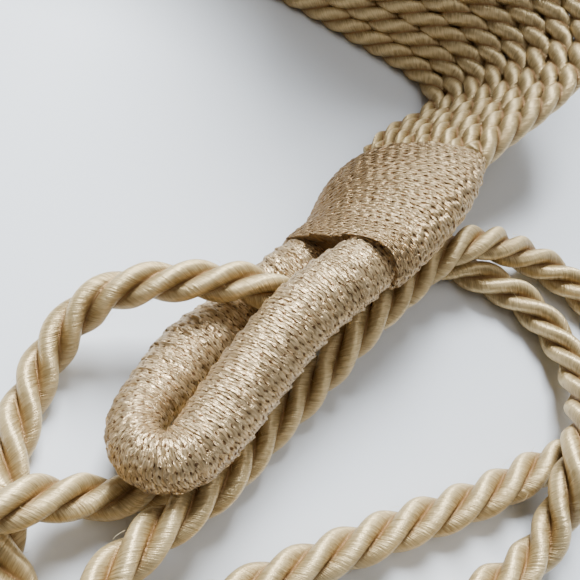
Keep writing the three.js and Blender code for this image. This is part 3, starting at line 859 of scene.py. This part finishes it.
def even_angles(around, wide, deep):
    """Angles round an oval, clockwise, that lie evenly along its rim."""
    fine = np.linspace(0, 2 * math.pi, 2001)
    rim = np.r_[0, np.cumsum(np.hypot(np.diff(np.cos(fine) * wide), np.diff(np.sin(fine) * deep)))]
    return -np.interp(np.arange(around) / around, rim / rim[-1], fine)


def laps_climb(turnwise, climb):
    """How far the laps climb along the neck at each place round it: none on the left, all on the right."""
    before = np.clip((NO_CLIMB - turnwise) / CLIMB_OVER, 0, 1)
    after = np.clip((turnwise - (360 - NO_CLIMB)) / CLIMB_OVER, 0, 1)
    rise = before + after
    rise = rise * rise * (3 - 2 * rise) * climb
    return np.append(rise, rise[0])


def turn_in(rings, inwards, notes):
    """Turns the first two rings of a neck in, under its hem, and gives the innermost painted shade."""
    middle = rings[0].mean(0)
    rings[0] = middle + (rings[2] - middle) * 0.6 + inwards * 1.6
    rings[1] = rings[2] * 0.93 + middle * 0.07 + inwards * 0.3
    # Painted shade on the innermost ring, under the hem.
    notes["crease"][0] = 0.7


def wound_neck(name, rows, at, turn, climb, step, around, place, rows_around=36, hem=None):
    """Ribbon round a neck.

    The hem says how far its edge is drawn up, by how much more on one side, how square it is, and how far
    along the neck that fades.
    """
    table = [(x * NECK_WIDE, y * NECK_LONG, z * NECK_HIGH, aim, lean, wide * NECK_WIDE, deep * NECK_DEEP)
             for y, x, z, aim, lean, wide, deep in rows]
    table, along = even_steps(smooth_rows(table, 800), step)
    line = table[:, :3]
    heading = unit(np.gradient(line, axis=0))
    across, through = leaning(np.radians(table[:, 3]), np.radians(table[:, 4]))
    angle = even_angles(around, NECK_WIDE * RIM_WIDE, NECK_DEEP * RIM_DEEP)
    c, s = np.cos(angle)[None, :], np.sin(angle)[None, :]
    half_wide, half_deep = (table[:, 5] / 2)[:, None], (table[:, 6] / 2)[:, None]
    drawn, skewed, squared, fades = hem or (0, 0, 0, 1)
    near_hem = np.clip(1 - along / fades, 0, 1)[:, None] if hem else np.zeros((len(along), 1))
    power = 2 + squared * near_hem**1.5
    half_wide = half_wide * (1 + HEM_WIDER * near_hem)
    half_deep = half_deep * (1 + HEM_DEEPER * near_hem)
    reach = (np.abs(c) ** power + np.abs(s) ** power) ** (-1 / power)
    skin = line[:, None] + across[:, None] * (c * reach * half_wide)[..., None]
    skin = skin + through[:, None] * (s * reach * half_deep)[..., None]
    skin = skin + heading[:, None] * ((drawn + skewed * c) * near_hem**1.3)[..., None]
    outwards = across[:, None] * (c / half_wide)[..., None] + through[:, None] * (s / half_deep)[..., None]
    outwards = unit(outwards)

    turnwise = np.degrees(angle) % 360
    rise = laps_climb(turnwise, climb)
    on_ribbon = ribbon_map(place, rows_around, around)
    j = np.arange(around)[None, :]
    u, v = on_ribbon(line[:, 1][:, None] - rise[j], j)
    moved, notes = wound(skin - outwards * SUNK, outwards, u, v, lap_lift=NECK_LIFT)
    # The left slope of the neck is marked for painted shade.
    from_left = np.abs((turnwise - LEFT_SLOPE + 180) % 360 - 180)[None, :]
    notes["painted_slope_shade"] = np.clip(1.6 - from_left / SLOPE_WIDE, 0, 1) + 0 * u
    if hem:
        turn_in(moved, heading[0], notes)

    def yarn(i, j, column):
        return np.stack(on_ribbon(line[i, 1] - rise[j], j), -1)

    return ring_skin(name, placed(moved, at, turn), yarn, notes)


neck = wound_neck("neck_winding", FIRST_NECK, FIRST_END, FIRST_TURN, climb=10.0, step=0.2, around=300,
                  place=200.0, hem=(4.8, 1.2, 1.2, 14.0))
dress(neck, satin_ribbon, "neck_wrap")

# %% [markdown]
# The belt's other end is the same work laid flat, and coarser points are enough for it. Its eye is a plain
# hairpin: two straight arms and half a circle between them.

# %% The other end
SECOND_NECK = [
    (0, 0, 0.56, 0, 0, 0.98, 0.78),
    (0.3, 0, 0.62, 0, -3, 1, 0.86),
    (0.6, 0, 0.66, 0, -7, 1, 0.86),
    (0.84, 0, 0.64, 0, -13, 0.96, 0.72),
    (1, 0, 0.6, 0, -18, 0.93, 0.55),
]
SECOND_END = (-32.337, -123.962)
SECOND_TURN = 90
ARM_ASIDE = 7.655
ARM_HIGH = 4.486
ARM_LONG = 31.2
ARM_THICK = 9.29

second_neck = wound_neck("second_neck_winding", SECOND_NECK, SECOND_END, SECOND_TURN, climb=0.0, step=0.3,
                         around=200, place=400.0)
dress(second_neck, satin_ribbon, "second_neck_wrap")

arm = [share * ARM_LONG for share in (0, 0.25, 0.5, 0.75)]
hairpin = [(-ARM_ASIDE, y) for y in arm]
hairpin += [(-ARM_ASIDE * math.cos(a), ARM_LONG + ARM_ASIDE * math.sin(a))
            for a in np.linspace(0, math.pi, 9)]
hairpin += [(ARM_ASIDE, y) for y in reversed(arm)]
eye_rows = [(x, -SEAT_GAP - y, ARM_HIGH, ARM_THICK, ARM_THICK) for x, y in hairpin]
second_eye = wound_eye("second_eye_winding", eye_rows, SECOND_END, SECOND_TURN, step=0.3, around=110,
                       place=600.0, nose=(44.0, 12.0))
dress(second_eye, satin_ribbon, "second_eye_loop")

# %% [markdown]
# The belt lies on a pale, faintly blue table top. It is one flat sheet, large enough that its edge stays
# far off in every view.

# %% Table top
FLOOR_HALF = 1.5
floor_corners = [(x * FLOOR_HALF, y * FLOOR_HALF, 0) for x, y in ((-1, -1), (1, -1), (1, 1), (-1, 1))]
floor_mesh = bpy.data.meshes.new("table_top")
floor_mesh.from_pydata(floor_corners, [], [(0, 1, 2, 3)])
floor = shown("table_top", floor_mesh)
paint = finished(new_finish("table paint"), Base_Color=colour(222, 226, 232), Roughness=0.6)
floor_mesh.materials.append(paint)

# %% [markdown]
# The light is a tall window behind the belt and a little to the left. It gives the long highlights on the
# winding and the ropes, and leaves the near face of the standing band in shade. A large weak lamp overhead on
# the right opens the shadows, and the room adds a little warm light from everywhere. A round card hangs
# between the window and the bend of the band, outside the picture. It shades the ropes and the table there,
# as something near the belt does in the photograph.

# %% Light
ROOM_TINT = (1.0, 0.97, 0.93, 1)
ROOM_LIGHT = 0.1
BELT_AT = (0.08, 0.02, 0.0)

world = bpy.data.worlds.new("room")
world.use_nodes = True
world.node_tree.nodes["Background"].inputs[0].default_value = ROOM_TINT
world.node_tree.nodes["Background"].inputs[1].default_value = ROOM_LIGHT
bpy.context.scene.world = world


def lamp(name, at, wide, high, power, tint):
    """A soft rectangular lamp that points at the belt."""
    data = bpy.data.lights.new(name, "AREA")
    data.shape = "RECTANGLE"
    data.size = wide
    data.size_y = high
    data.energy = power
    data.color = tint
    lamp_object = bpy.data.objects.new(name, data)
    bpy.context.scene.collection.objects.link(lamp_object)
    aimed = (Vector(BELT_AT) - Vector(at)).to_track_quat("-Z", "Y").to_matrix().to_4x4()
    lamp_object.matrix_world = Matrix.Translation(Vector(at)) @ aimed
    print(name, power, "W")


lamp("window", (-0.12, 0.62, 0.72), 0.38, 0.52, 35.0, (0.91, 0.96, 1.0))
lamp("ceiling", (0.55, 0.10, 1.00), 0.9, 0.9, 4.5, (1.0, 0.98, 0.95))

CARD_AT = (0.0584, 0.1495, 0.070)
CARD_RADIUS = 0.047
CARD_FACES = Vector((-0.20, 0.60, 0.72))
bpy.ops.mesh.primitive_circle_add(vertices=40, radius=CARD_RADIUS, fill_type="NGON", location=CARD_AT)
flag = bpy.context.object
flag.name = "flag"
flag.rotation_euler = CARD_FACES.to_track_quat("Z", "Y").to_euler()
flag.data.materials.append(paint)
flag.visible_camera = False
